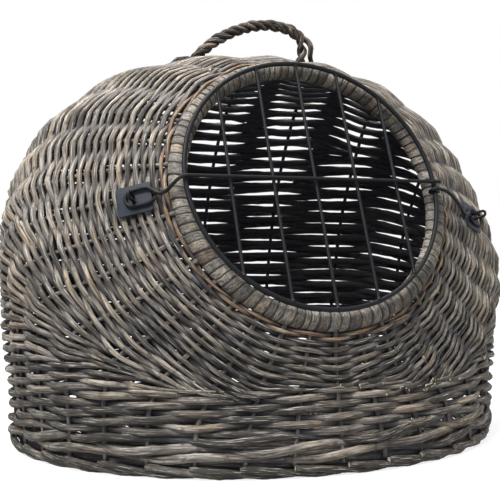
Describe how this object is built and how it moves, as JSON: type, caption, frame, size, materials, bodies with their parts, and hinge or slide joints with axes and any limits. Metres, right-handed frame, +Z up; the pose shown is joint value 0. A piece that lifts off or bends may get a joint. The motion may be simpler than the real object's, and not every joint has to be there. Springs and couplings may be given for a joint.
{
  "type": "wicker pet carrier",
  "caption": "Domed grey willow pet carrier on an oval floor, with a round leaning mouth, a wire grille door that swings on a staple, a wire hasp and a twisted handle.",
  "frame": {"origin": "centre of the overall box at the ground", "axes": "+Z up, -Y out of the front, where the mouth is, +X to the right hand of someone looking in"},
  "size_m": [0.5064, 0.412, 0.4172],
  "materials": {
    "willow": "weathered grey willow, matt",
    "rim_binding": "split willow skein, satin",
    "handle": "dark twisted willow, matt",
    "wire": "dark lacquered steel wire",
    "plate": "slate lacquered sheet, satin"
  },
  "bodies": {
    "basket": {"floor_panel": "willow", "foot_border": "willow", "wale_band": "willow", "woven_dome": "willow", "rim_hoop": "rim_binding", "stake_01": "willow", "stake_02": "willow", "stake_03": "willow", "stake_04": "willow", "stake_05": "willow", "stake_06": "willow", "stake_07": "willow", "stake_08": "willow", "stake_09": "willow", "stake_10": "willow", "stake_11": "willow", "stake_12": "willow", "stake_13": "willow", "stake_14": "willow", "stake_15": "willow", "stake_16": "willow", "stake_17": "willow", "stake_18": "willow", "stake_19": "willow", "stake_20": "willow", "stake_21": "willow", "stake_22": "willow", "stake_23": "willow", "stake_24": "willow", "stake_25": "willow", "stake_26": "willow", "stake_27": "willow", "stake_28": "willow", "stake_29": "willow", "stake_30": "willow", "handle_strand_1": "handle", "handle_strand_2": "handle", "handle_strand_3": "handle", "hinge_plate": "plate", "latch_plate": "plate", "hinge_staple": "wire", "latch_staple": "wire"},
    "door": {"door_frame": "wire", "door_crossbar": "wire", "door_bar_1": "wire", "door_bar_2": "wire", "door_bar_3": "wire", "door_bar_4": "wire", "door_bar_5": "wire"},
    "hasp": {"latch_hasp": "wire"}
  },
  "joints": [
    {"name": "door_hinge", "type": "hinge", "parent": "basket", "child": "door", "pos_m": [-0.16347, -0.12719, 0.22401], "axis": [0, -0.3827, -0.9239], "range_deg": [0, 110]},
    {"name": "hasp_pivot", "type": "hinge", "parent": "door", "child": "hasp", "pos_m": [0.11479, -0.1524, 0.23597], "axis": [0, -0.3827, -0.9239], "range_deg": [0, 120]}
  ]
}
